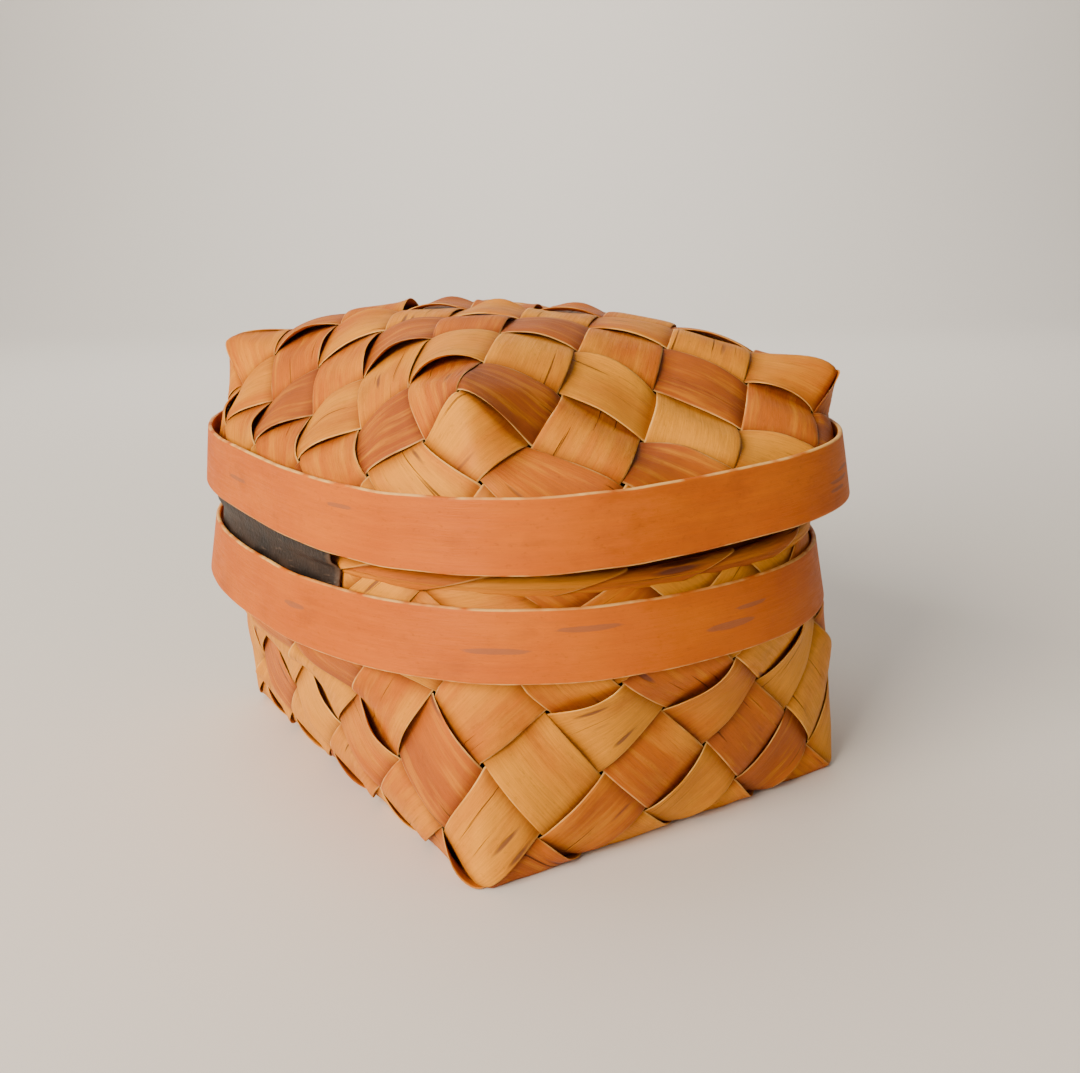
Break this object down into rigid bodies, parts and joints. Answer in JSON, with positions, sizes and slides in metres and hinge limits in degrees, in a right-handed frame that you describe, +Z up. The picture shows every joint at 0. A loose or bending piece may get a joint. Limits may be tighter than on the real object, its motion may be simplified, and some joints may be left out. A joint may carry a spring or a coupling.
{
  "type": "tea caddy",
  "caption": "Rectangular tea caddy plaited from birch-bark strips, with a crowned lid on a leather strap hinge and a smooth bark band round each mouth.",
  "frame": {"origin": "under the middle of the lid's band, on the plane that the box stands on", "axes": "+Z up, +Y along the long side, +X across to the side where the lid opens; the hinge is on the -X side"},
  "size_m": [0.1165, 0.1435, 0.0954],
  "materials": {
    "plaited_bark": "satin",
    "band_bark": "satin",
    "collar_bark": "satin",
    "strap_leather": "worn"
  },
  "bodies": {
    "base": {"base_strip_01": "plaited_bark", "base_strip_02": "plaited_bark", "base_strip_03": "plaited_bark", "base_strip_04": "plaited_bark", "base_strip_05": "plaited_bark", "base_strip_06": "plaited_bark", "base_strip_07": "plaited_bark", "base_strip_08": "plaited_bark", "base_strip_09": "plaited_bark", "base_strip_10": "plaited_bark", "base_strip_11": "plaited_bark", "base_strip_12": "plaited_bark", "base_strip_13": "plaited_bark", "base_strip_14": "plaited_bark", "base_strip_15": "plaited_bark", "base_strip_16": "plaited_bark", "base_strip_17": "plaited_bark", "base_strip_18": "plaited_bark", "base_band": "band_bark", "base_collar": "collar_bark", "hinge_strap_lower": "strap_leather"},
    "lid": {"lid_strip_01": "plaited_bark", "lid_strip_02": "plaited_bark", "lid_strip_03": "plaited_bark", "lid_strip_04": "plaited_bark", "lid_strip_05": "plaited_bark", "lid_strip_06": "plaited_bark", "lid_strip_07": "plaited_bark", "lid_strip_08": "plaited_bark", "lid_strip_09": "plaited_bark", "lid_strip_10": "plaited_bark", "lid_strip_11": "plaited_bark", "lid_strip_12": "plaited_bark", "lid_strip_13": "plaited_bark", "lid_strip_14": "plaited_bark", "lid_strip_15": "plaited_bark", "lid_strip_16": "plaited_bark", "lid_strip_17": "plaited_bark", "lid_strip_18": "plaited_bark", "lid_band": "band_bark", "hinge_strap_upper": "strap_leather"}
  },
  "joints": [
    {"name": "lid_hinge", "type": "hinge", "parent": "base", "child": "lid", "pos_m": [-0.05468, 0, 0.0552], "axis": [0, -1, 0], "range_deg": [-1.2, 110]}
  ]
}
